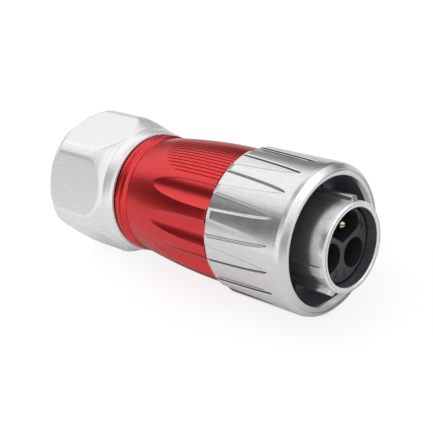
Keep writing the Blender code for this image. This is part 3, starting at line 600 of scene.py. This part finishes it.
# The steep band of each flute wall gets painted shade, a dark line along the flute
in_wall = (inside > STEEP[0]) & (inside < STEEP[1])
steep = np.tile(in_wall & np.roll(in_wall, -1, axis=0) & fluted, (FLUTES, 1))
steep &= np.roll(fluted, -1)
paint_faces(coupling, wall_shade, np.flatnonzero(steep.ravel()))
true_normals(coupling, lambda r, z: ((np.abs(r - RING_R) < 1e-4)
                                     & (z < z_from - 0.1) & (z > z_to + 0.1)))
place(coupling, "ring", "satin_silver", "coupling_ring")

# The bayonet lugs and the stop tooth take the darker bore metal as painted shade
lug = [(LUG_R, LUG_FRONT, 0.15), (LUG_R, LUG_REAR, 0.15), (RING_BORE_R + 0.1, LUG_REAR, 0.0),
       (RING_BORE_R + 0.1, LUG_FRONT, 0.0)]
for number in range(LUGS):
    piece = lathe(f"bayonet_lug_{number + 1}", lug, bore, steps=32,
                  start=LUG_START + 360.0 / LUGS * number, sweep=LUG_SWEEP)
    place(piece, "ring", "satin_silver", "coupling_ring")
tooth = [(TOOTH_R, TOOTH_FRONT, 0.1), (TOOTH_R, TOOTH_REAR, 0.1),
         (RING_BORE_R + 0.1, TOOTH_REAR, 0.0), (RING_BORE_R + 0.1, TOOTH_FRONT, 0.0)]
piece = lathe("stop_tooth", tooth, bore, steps=6, start=TOOTH_START, sweep=TOOTH_SWEEP)
place(piece, "ring", "satin_silver", "coupling_ring")


# Front shell: sleeve with its keys and pad, flange with the stop notch, threaded spigot

shell_corners = [
    (SLEEVE_BORE_R, 5.3, 0.12), (9.0, SLEEVE_FRONT, 0.14), (9.48, SLEEVE_FRONT, 0.0),
    (9.5, SLEEVE_FRONT - 0.2, 0.0), (9.64, SLEEVE_FRONT - 0.2, 0.0),
    (9.66, SLEEVE_FRONT - 0.01, 0.0), (9.82, SLEEVE_FRONT - 0.03, 0.08), (SLEEVE_R, 5.2, 0.25),
    *[(SLEEVE_R, z, 0.0) for z in (4.98, 4.94, 4.68, 4.64, 4.6, 4.5, 4.4, 3.8)],
    (SLEEVE_R, -16.3, 0.3), (10.648, FLANGE_FRONT, 0.0),
    (FLANGE_R, FLANGE_FRONT, 0.1), (FLANGE_R, FLANGE_REAR, 0.1), (SPIGOT_R, FLANGE_REAR, 0.0),
    (SPIGOT_R, O_RING_GROOVE[0], 0.0), (O_RING_GROOVE_R, O_RING_GROOVE[0], 0.0),
    (O_RING_GROOVE_R, O_RING_GROOVE[1], 0.0), (SPIGOT_R, O_RING_GROOVE[1], 0.0),
    (SPIGOT_R, SPIGOT_END + 0.6, 0.1), (SPIGOT_R - 0.6, SPIGOT_END, 0.1),
    (POCKET_R, SPIGOT_END, 0.1),
    (POCKET_R, CLIP_GROOVE[1], 0.0), (CLIP_GROOVE_R, CLIP_GROOVE[1], 0.0),
    (CLIP_GROOVE_R, CLIP_GROOVE[0], 0.0), (POCKET_R, CLIP_GROOVE[0], 0.0),
    (POCKET_R, POCKET_FRONT, 0.0), (SLEEVE_BORE_R, POCKET_FRONT, 0.0), (SLEEVE_BORE_R, FACE, 0.0),
]
shell_path = dense(rounded(shell_corners), 1.0)
marks = [PAD_AT - PAD_HALF, PAD_AT + PAD_HALF, *NOTCH]
near = np.array([-0.9, -0.45, -0.2, -0.05, 0.05, 0.2, 0.45, 0.9])
key_turns = [TOP_KEY_AT + side * at for at, _ in TOP_KEY for side in (-1, 1)]
key_turns += [at for at, _ in SIDE_KEY]
turns = np.unique(np.round(np.concatenate(
    [np.arange(0.0, 360.0, 2.5), key_turns] + [near + mark for mark in marks]), 3))
shell_radius, shell_angle, shell_height = spread(turns, shell_path)
sleeve_side = (np.abs(shell_path[:, 0] - SLEEVE_R) < 1e-3) & (shell_path[:, 1] > KEYS_REAR)
key_rise = np.interp(-shell_path[:, 1], *zip(*KEY_END)) * sleeve_side
top_key = np.interp(np.abs(turns - TOP_KEY_AT), *zip(*TOP_KEY)) * (KEY_R - SLEEVE_R)
side_key = np.interp(turns, *zip(*SIDE_KEY)) * (KEY_R - SLEEVE_R)
pad = np.clip((PAD_HALF - np.abs(turns - PAD_AT)) / PAD_EDGE, 0.0, 1.0) * PAD_HEIGHT
rise = np.maximum(np.maximum(top_key, side_key), pad)
shell_radius += rise[:, None] * key_rise[None, :]
in_notch = (turns > NOTCH[0]) & (turns < NOTCH[1])
flange = (shell_path[:, 1] < FLANGE_FRONT + 0.01) & (shell_path[:, 1] > FLANGE_REAR - 0.01)
notched = in_notch[:, None] & flange[None, :]
shell_radius = np.where(notched, np.minimum(shell_radius, NOTCH_R), shell_radius)
sleeve = solid("keyed_sleeve", shell_radius, shell_angle, shell_height, sleeve_silver, sharp=35)
# Painted shade: the sleeve's bore and the top key's front face take the darker bore metal
paint(sleeve, bore, lambda at, out: (radial(at) < SLEEVE_BORE_R + 0.1 and at.z < 5.2)
      or (out.z > 0.6 and at.y > 0 and 4.6 < at.z < 5.05 and radial(at) > SLEEVE_R + 0.1))
paint(sleeve, rim_silver, lambda at, out: out.z > 0.55 and at.z > 5.25)
# Painted shade on the sleeve's bore behind the insulator face
paint(sleeve, recess_shade, lambda at, out: radial(at) < SLEEVE_BORE_R + 0.1 and at.z < FACE)
place(sleeve, "plug", "bright_silver", "front_shell")


# Insulator with its wells, and the numbers beside them

face_piece = lathe("insulator_body", [
    (0.0, FACE, 0.0), (INSULATOR_R, FACE, 0.12), (INSULATOR_R, INSULATOR_STEP, 0.0),
    (INSULATOR_REAR_R, INSULATOR_STEP, 0.0), (INSULATOR_REAR_R, INSULATOR_END, 0.0),
    (0.0, INSULATOR_END, 0.0),
], plastic)


def disc_hull(discs, grow):
    """Outline round (x, y, radius) discs, a little larger by grow."""
    outline = []
    for angle in np.arange(144) * 2.5:
        out = np.array(polar(1.0, angle))
        x, y, r = max(discs, key=lambda disc: disc[0] * out[0] + disc[1] * out[1] + disc[2])
        outline.append((x + out[0] * (r + grow), y + out[1] * (r + grow)))
    return outline


def well_tool(name, discs):
    """A well's cutter with a small rounding at its mouth."""
    lip_steps = [(0.0, FACE - 0.12), (0.03, FACE - 0.05), (0.09, FACE - 0.01), (0.2, FACE + 0.05)]
    levels = [(0.0, WELL_FLOOR)] + lip_steps + [(0.2, FACE + 1.0)]
    return loft(name, [(disc_hull(discs, grow), z) for grow, z in levels])


keyed_discs = [(*polar(out, POLES[0][0] + turn), r) for out, turn, r in (
    (1.35, 0.0, 0.8), (5.45, 40.0, 1.7), (5.45, -40.0, 1.7), (6.1, 28.0, 1.55), (6.1, -28.0, 1.55),
    (7.72, 20.0, 0.0), (7.72, 10.0, 0.0), (7.72, 0.0, 0.0), (7.72, -10.0, 0.0), (7.72, -20.0, 0.0))]
wells = [well_tool("keyed_well", keyed_discs)]
wells += [well_tool("round_well", [(*polar(out, angle), WELL_R)]) for angle, out in POLES[1:]]
for angle, out in POLES:
    hole = [(*polar(out, angle), PIN_R + 0.2)]
    ends = (INSULATOR_END - 1.0, WELL_FLOOR + 1.0)
    wells.append(loft("pin_hole", [(disc_hull(hole, 0.0), z) for z in ends]))
bored(face_piece, wells)
# Painted shade: the insides of the wells are near black
paint(face_piece, recess_shade, lambda at, out: at.z < FACE - 0.1)
place(face_piece, "plug", "dark_plastic", "insulator_front")

for text, x, y, turn, tall in NUMBERS:
    curve = bpy.data.curves.new(f"pole_{text}", "FONT")
    curve.body = text
    curve.size = tall * MM
    curve.extrude = 0.012 * MM
    curve.offset = 0.07 * MM
    curve.align_x = "CENTER"
    curve.align_y = "CENTER"
    written = bpy.data.objects.new(f"pole_text_{text}", curve)
    bpy.context.scene.collection.objects.link(written)
    bpy.context.view_layer.update()
    mesh = bpy.data.meshes.new_from_object(
        written.evaluated_get(bpy.context.evaluated_depsgraph_get()))
    bpy.data.objects.remove(written, do_unlink=True)
    mesh.materials.clear()
    mesh.materials.append(ink.material)
    figure = bpy.data.objects.new(f"pole_number_{text}", mesh)
    figure.matrix_world = (Matrix.Translation((x * MM, y * MM, (FACE + 0.005) * MM))
                           @ Matrix.Rotation(turn * DEG, 4, "Z"))
    bpy.context.scene.collection.objects.link(figure)
    place(figure, "plug", "dark_plastic")


# Contacts: slotted round nose, collar, tail with its wire bore and screw hole

for number, ((angle, out), tip) in enumerate(zip(POLES, PIN_TIPS), 1):
    pin = lathe(f"pin_{number}", [
        (0.0, tip, 0.0), (PIN_R * 0.5, tip - 0.005, 0.3), (PIN_R, tip - 0.5, 0.55),
        (PIN_R, COLLAR_FRONT, 0.0), (COLLAR_R, COLLAR_FRONT, 0.1), (COLLAR_R, COLLAR_REAR, 0.1),
        (TAIL_R, COLLAR_REAR, 0.0), (TAIL_R, TAIL_END + 0.4, 0.1), (TAIL_R - 0.4, TAIL_END, 0.1),
        (WIRE_BORE_R, TAIL_END, 0.1), (WIRE_BORE_R, -30.0, 0.0), (0.0, -29.5, 0.0),
    ], gold, steps=48, segments=6)
    half, slot_deep = PIN_SLOT
    corners = [(-2.0, -half), (2.0, -half), (2.0, half), (-2.0, half)]
    slot = loft("slot", [(corners, z) for z in (tip - slot_deep, tip + 1.0)])
    slot.rotation_euler.z = -angle * DEG
    across = Vector((*polar(1.0, 90.0 - angle), 0.0))
    circle = [polar(SCREW_HOLE_R, k * 15.0) for k in range(24)]
    screw_hole = loft("screw_hole", [(circle, z) for z in (0.3, 4.0)])
    screw_hole.data.transform(Matrix.Translation((0, 0, SCREW_AT * MM))
                              @ Matrix.Rotation(90 * DEG, 4, "Y"))
    bored(pin, [slot, screw_hole])
    # Painted shade in each pin's slot, on its walls and its floor
    paint(pin, recess_shade, lambda at, out: at.z > tip - slot_deep - 0.05 and radial(at) < PIN_R - 0.04
          and (abs(out.dot(across)) > 0.97 or at.z < tip - slot_deep + 0.2))
    x, y = polar(out, angle)
    pin.matrix_world = (Matrix.Translation((x * MM, y * MM, 0.0))
                        @ Matrix.Rotation(angle * DEG, 4, "Z"))
    place(pin, "plug", "gold_plate", f"contact_{number}")


# Back shell: barrel with flame-shaped scoops and ribbed grips, then the beads and thread

def smooth_barrel(z):
    """Outer radius of the barrel, a smooth curve through its stations."""
    at = np.array([-row[0] for row in BARREL])
    r = np.array([row[1] for row in BARREL]) * BODY_R
    slope = np.gradient(r, at)
    slope[:2] = 0.0
    k = np.clip(np.searchsorted(at, -z, side="right") - 1, 0, len(at) - 2)
    gap = at[k + 1] - at[k]
    t = np.clip((-z - at[k]) / gap, 0.0, 1.0)
    return ((2 * t ** 3 - 3 * t ** 2 + 1) * r[k] + (t ** 3 - 2 * t ** 2 + t) * gap * slope[k]
            + (3 * t ** 2 - 2 * t ** 3) * r[k + 1] + (t ** 3 - t ** 2) * gap * slope[k + 1])


barrel_front = rounded([(SPIGOT_R + 0.3, BODY_FRONT, 0.1), (BODY_R - 0.12, BODY_FRONT, 0.05),
                        (BODY_R, BODY_FRONT - 0.12, 0.1), (BODY_R, -25.0, 0.0)])
barrel_z = np.arange(-25.4, -50.72, -0.44)
barrel_side = np.stack((smooth_barrel(barrel_z), barrel_z), -1)
barrel_rest = np.array([
    (14.25, -50.74), (14.1, -50.9), (14.0, BARREL_END), (JOINT_BORE_R, BARREL_END),
    (CAVITY_R, -49.25), (CAVITY_R, -42.0), (CAVITY_R, CAVITY_FRONT),
    (SPIGOT_R + 0.3, CAVITY_FRONT), (SPIGOT_R + 0.3, -30.0)])
barrel_path = np.concatenate((barrel_front, barrel_side, barrel_rest))
rows_r, rows_z = barrel_path[:, 0], barrel_path[:, 1]
outer = np.zeros(len(barrel_path), bool)
outer[5:len(barrel_front) + len(barrel_side)] = True
skin = np.where(outer, rows_r, BODY_R)

flame_r = BODY_R - FLAME_DEPTH + FLAME_ARCH
flame_z = BODY_FRONT - 0.5
tip_share = (flame_r - float(smooth_barrel(np.array([FLAME_TIP]))[0])) / FLAME_ARCH
flame_long = (flame_z - FLAME_TIP) / math.sqrt(1 - tip_share ** 2)
level = np.maximum(1 - ((np.minimum(rows_z, -23.31) - flame_z) / flame_long) ** 2, 0.0)
a2, b2 = FLAME_ARCH ** 2, FLAME_HALF_WIDTH ** 2
square = skin ** 2 * (1 / a2 - 1 / b2)
linear = -2 * skin * flame_r / a2
plain = flame_r ** 2 / a2 + skin ** 2 / b2 - level
root = np.sqrt(np.maximum(linear ** 2 - 4 * square * plain, 0.0))
cosine = np.clip((-linear - root) / (2 * square), -1.0, 1.0)
cosine_b = np.clip((-linear + root) / (2 * square), -1.0, 1.0)
cosine = np.where(np.abs(square) > 1e-9, np.where(cosine < 0.5, cosine_b, cosine), 1.0)
scoop_half = np.where(outer, np.degrees(np.arccos(cosine)), 3.0)
scoop_half = np.minimum(scoop_half, 13.0)
scoop_at = np.maximum(scoop_half, 0.7)
spots = [scoop_at * share for share in (0.0, 0.2, 0.4, 0.58, 0.74, 0.86, 0.94, 0.985, 1.0)]
spots += [scoop_at + 0.15 + (FLAME_SECTOR - scoop_at - 0.15) * share
          for share in (0.0, 0.2, 0.55, 1.0)]
half_sector = np.array(spots)
scoop_turns = np.concatenate((-half_sector[:0:-1], half_sector))[1:]


def scooped(angle, skin_r):
    """Radius left by one flame cutter at angles from its middle."""
    cos, sin = np.cos(angle * DEG), np.sin(angle * DEG)
    square = cos ** 2 / a2 + sin ** 2 / b2
    linear = -2 * cos * flame_r / a2
    plain = flame_r ** 2 / a2 - level[None, :]
    under = linear ** 2 - 4 * square * plain
    near_side = (-linear - np.sqrt(np.maximum(under, 0.0))) / (2 * square)
    return np.where(under > 0, soft_min(skin_r, near_side, 0.05), skin_r)


grooves = range(-GRIP_GROOVES, GRIP_GROOVES + 1)
grip_turns = np.concatenate([k * GRIP_PITCH + np.array(GROOVE_SPOTS) for k in grooves])[1:]
share = np.round(grip_turns / GRIP_PITCH) / (GRIP_GROOVES + 0.25)
groove_start = GRIP_TIP + GRIP_REACH * (1 - np.sqrt(1 - share ** 2))
from_middle = np.abs((grip_turns + GRIP_PITCH / 2) % GRIP_PITCH - GRIP_PITCH / 2) / GRIP_HALF
groove_shape = GRIP_DEPTH * np.clip(1 - from_middle ** 2, 0.0, 1.0) ** 0.6
groove_fade = ramp(rows_z[None, :], groove_start[:, None] - 0.15, groove_start[:, None] + 0.75)

angles, radii = [], []
flame_radius = np.where(outer, scooped(scoop_turns, rows_r[None, :]), rows_r[None, :])
grip_radius = rows_r[None, :] - groove_shape[:, None] * groove_fade * outer
grip_angle = np.repeat(grip_turns[:, None], len(rows_r), axis=1)
for flames, grip in ((FLAMES[:3], GRIPS[1]), (FLAMES[3:], GRIPS[0] + 360.0)):
    for middle in flames:
        angles.append(middle + 360.0 * (middle < FLAMES[0]) + scoop_turns)
        radii.append(flame_radius)
    angles.append(grip + grip_angle)
    radii.append(grip_radius)
body_angle = np.concatenate(angles)
body_radius = np.concatenate(radii)
body_height = np.repeat(rows_z[None, :], len(body_angle), axis=0)
barrel = solid("red_barrel", body_radius, body_angle, body_height, red, sharp=38)
# Painted shade: the barrel's front face, in the gap behind the ring, is painted black rubber
paint(barrel, rubber_and_gap_shade, lambda at, out: at.z > BODY_FRONT - 0.03)
place(barrel, "plug", "red_anodised", "back_shell")

tail = lathe("red_beads", [
    (14.0, -50.93, 0.0), (14.1, -50.98, 0.05), (14.14, -51.15, 0.1), (BEAD_R, -51.85, 0.3),
    (BEAD_R, -52.5, 0.3), (BEAD_R - 0.12, -52.8, 0.12), (BEAD_R - 0.5, -52.97, 0.06),
    (BEAD_R - 0.1, -53.14, 0.15), (BEAD_R, -53.6, 0.35), (BEAD_R - 0.02, -54.3, 0.3),
    (BEAD_R - 0.35, BODY_END - 0.2, 0.1),
    (THREAD_R - 0.45, BODY_END - 0.2, 0.0), (THREAD_R - 0.45, -56.65, 0.0), (THREAD_R, -57.05, 0.0),
    (THREAD_R, -65.4, 0.0), (THREAD_R - 0.6, -66.0, 0.0), (TAIL_BORE_R, -66.0, 0.0),
    (TAIL_BORE_R, -52.25, 0.0), (JOINT_BORE_R, -50.93, 0.0),
], red, steps=180)
place(tail, "plug", "red_anodised", "back_shell")

gasket = lathe("gasket_line", [
    (THREAD_R - 0.15, -54.7, 0.0), (13.8, -54.7, 0.2), (13.8, -55.8, 0.0),
    (THREAD_R - 0.15, -55.8, 0.0),
], rubber_and_gap_shade)
place(gasket, "plug", "black_rubber", "nut_gasket")


# Gland nut: turned outline met by six flats, with rounded edges

nut_corners = [
    (NUT_NECK_R, NUT_FRONT - 0.1, 0.0), (14.5, NUT_FRONT + 0.05, 0.08),
    (14.95, NUT_FRONT - 0.05, 0.15), (15.25, NUT_FRONT - 0.8, 0.4), (15.42, NUT_FRONT - 2.1, 1.5),
    (15.4, NUT_FRONT - 3.3, 0.8), (15.9, NUT_FRONT - 4.1, 0.8), (16.55, NUT_FRONT - 5.3, 0.8),
    (17.15, NUT_FRONT - 6.8, 1.2), (NUT_CORNER_R, NUT_FRONT - 8.4, 1.5),
    (NUT_CORNER_R, NUT_END + 3.7, 0.8), (17.0, NUT_END + 2.4, 0.8), (16.2, NUT_END + 1.2, 0.6),
    (14.85, NUT_END + 0.3, 0.5), (13.45, NUT_END, 0.3), (NUT_BORE_R + 0.5, NUT_END, 0.1),
    (NUT_BORE_R, NUT_END + 0.5, 0.1), (NUT_BORE_R, NUT_SEAT_REAR, 0.0),
    (9.55, NUT_SEAT_REAR, 0.0), (10.45, NUT_SEAT_FRONT, 0.0), (NUT_THREAD_R, NUT_SEAT_FRONT, 0.0),
    (NUT_THREAD_R, NUT_FRONT - 1.1, 0.0), (NUT_NECK_R, NUT_FRONT - 1.1, 0.0),
]
nut_path = rounded(nut_corners, 5)
inner = nut_path[-NUT_INNER:]
curved = dense(nut_path[:-NUT_INNER], 0.3, closed=False)
# Two rows of three drop out where the corner bands run straight
nut_path = np.array([point for i, point in enumerate(curved)
                     if not (-72.5 < point[1] < -65.0 and point[0] > NUT_CORNER_R - 0.1 and i % 3)]
                    + list(inner))
corner_edge = math.degrees(math.acos(NUT_FLAT / NUT_CORNER_R))
near = np.array([-1.6, -1.1, -0.75, -0.5, -0.25, 0.0, 0.25, 0.5, 0.75, 1.1, 1.6])
nut_half = 180.0 / NUT_FLATS
nut_turns = np.unique(np.round(np.concatenate(
    (np.arange(-nut_half, nut_half, 1.25), near + corner_edge, near - corner_edge)), 3))
nut_turns = nut_turns[nut_turns < nut_half - 0.1]
turns = np.concatenate([NUT_PHASE + nut_half + 2 * nut_half * k + nut_turns
                        for k in range(NUT_FLATS)])
flat = NUT_FLAT / np.cos(np.tile(nut_turns, NUT_FLATS) * DEG)
nut_turned, nut_angle, nut_height = spread(turns, nut_path)
nut_radius = np.where(nut_turned > 15.0, soft_min(nut_turned, flat[:, None], NUT_EDGE), nut_turned)
nut = solid("gland_nut_hexagon", nut_radius, nut_angle, nut_height, blasted, sharp=45)
place(nut, "plug", "pale_silver", "gland_nut")

seal = lathe("seal_sleeve", [
    (6.6, -60.0, 0.2), (7.2, -60.0, 0.3), (8.0, -61.6, 0.4), (8.0, -74.8, 0.4), (7.4, -75.4, 0.3),
    (6.6, -75.4, 0.3), (6.0, -74.6, 0.3), (6.0, -60.8, 0.3),
], rubber_and_gap_shade)
place(seal, "plug", "black_rubber", "cable_seal")


# Camera, floor and light

camera_data = bpy.data.cameras.new("camera")
camera_data.sensor_width = SENSOR
camera_data.lens = SENSOR * FOCAL / PHOTO
camera_data.clip_start = 0.01
camera = bpy.data.objects.new("camera", camera_data)
bpy.context.scene.collection.objects.link(camera)
camera.matrix_world = Matrix((CAMERA_RIGHT, CAMERA_UP, CAMERA_BACK)).transposed().to_4x4()
camera.location = CAMERA_AT
bpy.context.scene.camera = camera

key_data = bpy.data.lights.new("key", "AREA")
key_data.shape = "SQUARE"
key_data.size = 0.8
key_data.energy = KEY_POWER
key = bpy.data.objects.new("key", key_data)
bpy.context.scene.collection.objects.link(key)
key.location = (-0.25, -0.1, 0.9)
key.visible_glossy = False
key.rotation_euler = (Vector((0, 0, 0)) - key.location).to_track_quat("-Z", "Y").to_euler()

floor_mesh = bpy.data.meshes.new("floor")
floor_mesh.from_pydata([(-3, -3, 0), (3, -3, 0), (3, 3, 0), (-3, 3, 0)], [], [(0, 1, 2, 3)])
floor = bpy.data.objects.new("floor", floor_mesh)
floor.location.z = -0.0001
bpy.context.scene.collection.objects.link(floor)
paper = Look("floor_paper", (0.8, 0.8, 0.8), 0.0, 0.9)
paper.vary_roughness(paper.noise(3.0), 0.85, 0.95)
light_path = paper.node("LightPath")
glow = paper.node("Emission", strength=PAPER_GLOW)
faint = paper.node("MixShader")
both = paper.node("AddShader")
black = paper.node("Emission", strength=0.0)
faint.inputs[0].default_value = PAPER_SHADE
swap = paper.node("MixShader")
paper.link(black.outputs[0], faint.inputs[1])
paper.link(paper.shader.outputs[0], faint.inputs[2])
paper.link(faint.outputs[0], both.inputs[0])
paper.link(glow.outputs[0], both.inputs[1])
paper.link(light_path.outputs["Is Camera Ray"], swap.inputs[0])
paper.link(paper.shader.outputs[0], swap.inputs[1])
paper.link(both.outputs[0], swap.inputs[2])
paper.link(swap.outputs[0], paper.tree.nodes["Material Output"].inputs[0])
floor_mesh.materials.append(paper.material)

world = bpy.data.worlds.new("studio")
bpy.context.scene.world = world
world.use_nodes = True
sky = world.node_tree


def sky_math(operation, a, b=None):
    made = sky.nodes.new("ShaderNodeMath")
    made.operation = operation
    for socket, value in zip(made.inputs, (a, b)):
        if isinstance(value, (int, float)):
            socket.default_value = value
        elif value is not None:
            sky.links.new(value, socket)
    return made.outputs[0]


def flag(azimuth, elevation, inner, outer, dim):
    """Share of light that a grey card in that direction leaves, with a soft edge.

    A share taken away that is less than nothing makes it a lamp.
    """
    up = math.sin(elevation * DEG)
    across = math.cos(elevation * DEG)
    aim = (across * math.cos(azimuth * DEG), across * math.sin(azimuth * DEG), up)
    dot = sky.nodes.new("ShaderNodeVectorMath")
    dot.operation = "DOT_PRODUCT"
    sky.links.new(direction.outputs["Generated"], dot.inputs[0])
    dot.inputs[1].default_value = aim
    edge = sky.nodes.new("ShaderNodeMapRange")
    edge.interpolation_type = "SMOOTHSTEP"
    edge.inputs["From Min"].default_value = math.cos(outer * DEG)
    edge.inputs["From Max"].default_value = math.cos(inner * DEG)
    edge.inputs["To Min"].default_value = 1.0
    edge.inputs["To Max"].default_value = 1.0 - dim
    sky.links.new(dot.outputs["Value"], edge.inputs["Value"])
    return edge.outputs[0]


direction = sky.nodes.new("ShaderNodeTexCoord")
reflected = ROOM_MIRRORED
for spot in SPOTS:
    reflected = sky_math("MULTIPLY", reflected, flag(*spot))
background = sky.nodes["Background"]
background.inputs["Color"].default_value = (1.0, 1.0, 1.0, 1.0)
background.inputs["Strength"].default_value = ROOM_LIGHT
mirrored = sky.nodes.new("ShaderNodeBackground")
sky.links.new(reflected, mirrored.inputs["Strength"])
seen = sky.nodes.new("ShaderNodeBackground")
seen.inputs["Strength"].default_value = 1.0
path = sky.nodes.new("ShaderNodeLightPath")
glossy_mix = sky.nodes.new("ShaderNodeMixShader")
camera_mix = sky.nodes.new("ShaderNodeMixShader")
shiny = sky_math("MAXIMUM", path.outputs["Is Glossy Ray"], path.outputs["Is Transmission Ray"])
sky.links.new(shiny, glossy_mix.inputs[0])
sky.links.new(background.outputs[0], glossy_mix.inputs[1])
sky.links.new(mirrored.outputs[0], glossy_mix.inputs[2])
sky.links.new(path.outputs["Is Camera Ray"], camera_mix.inputs[0])
sky.links.new(glossy_mix.outputs[0], camera_mix.inputs[1])
sky.links.new(seen.outputs[0], camera_mix.inputs[2])
sky.links.new(camera_mix.outputs[0], sky.nodes["World Output"].inputs[0])

bpy.context.scene.view_settings.view_transform = "Standard"
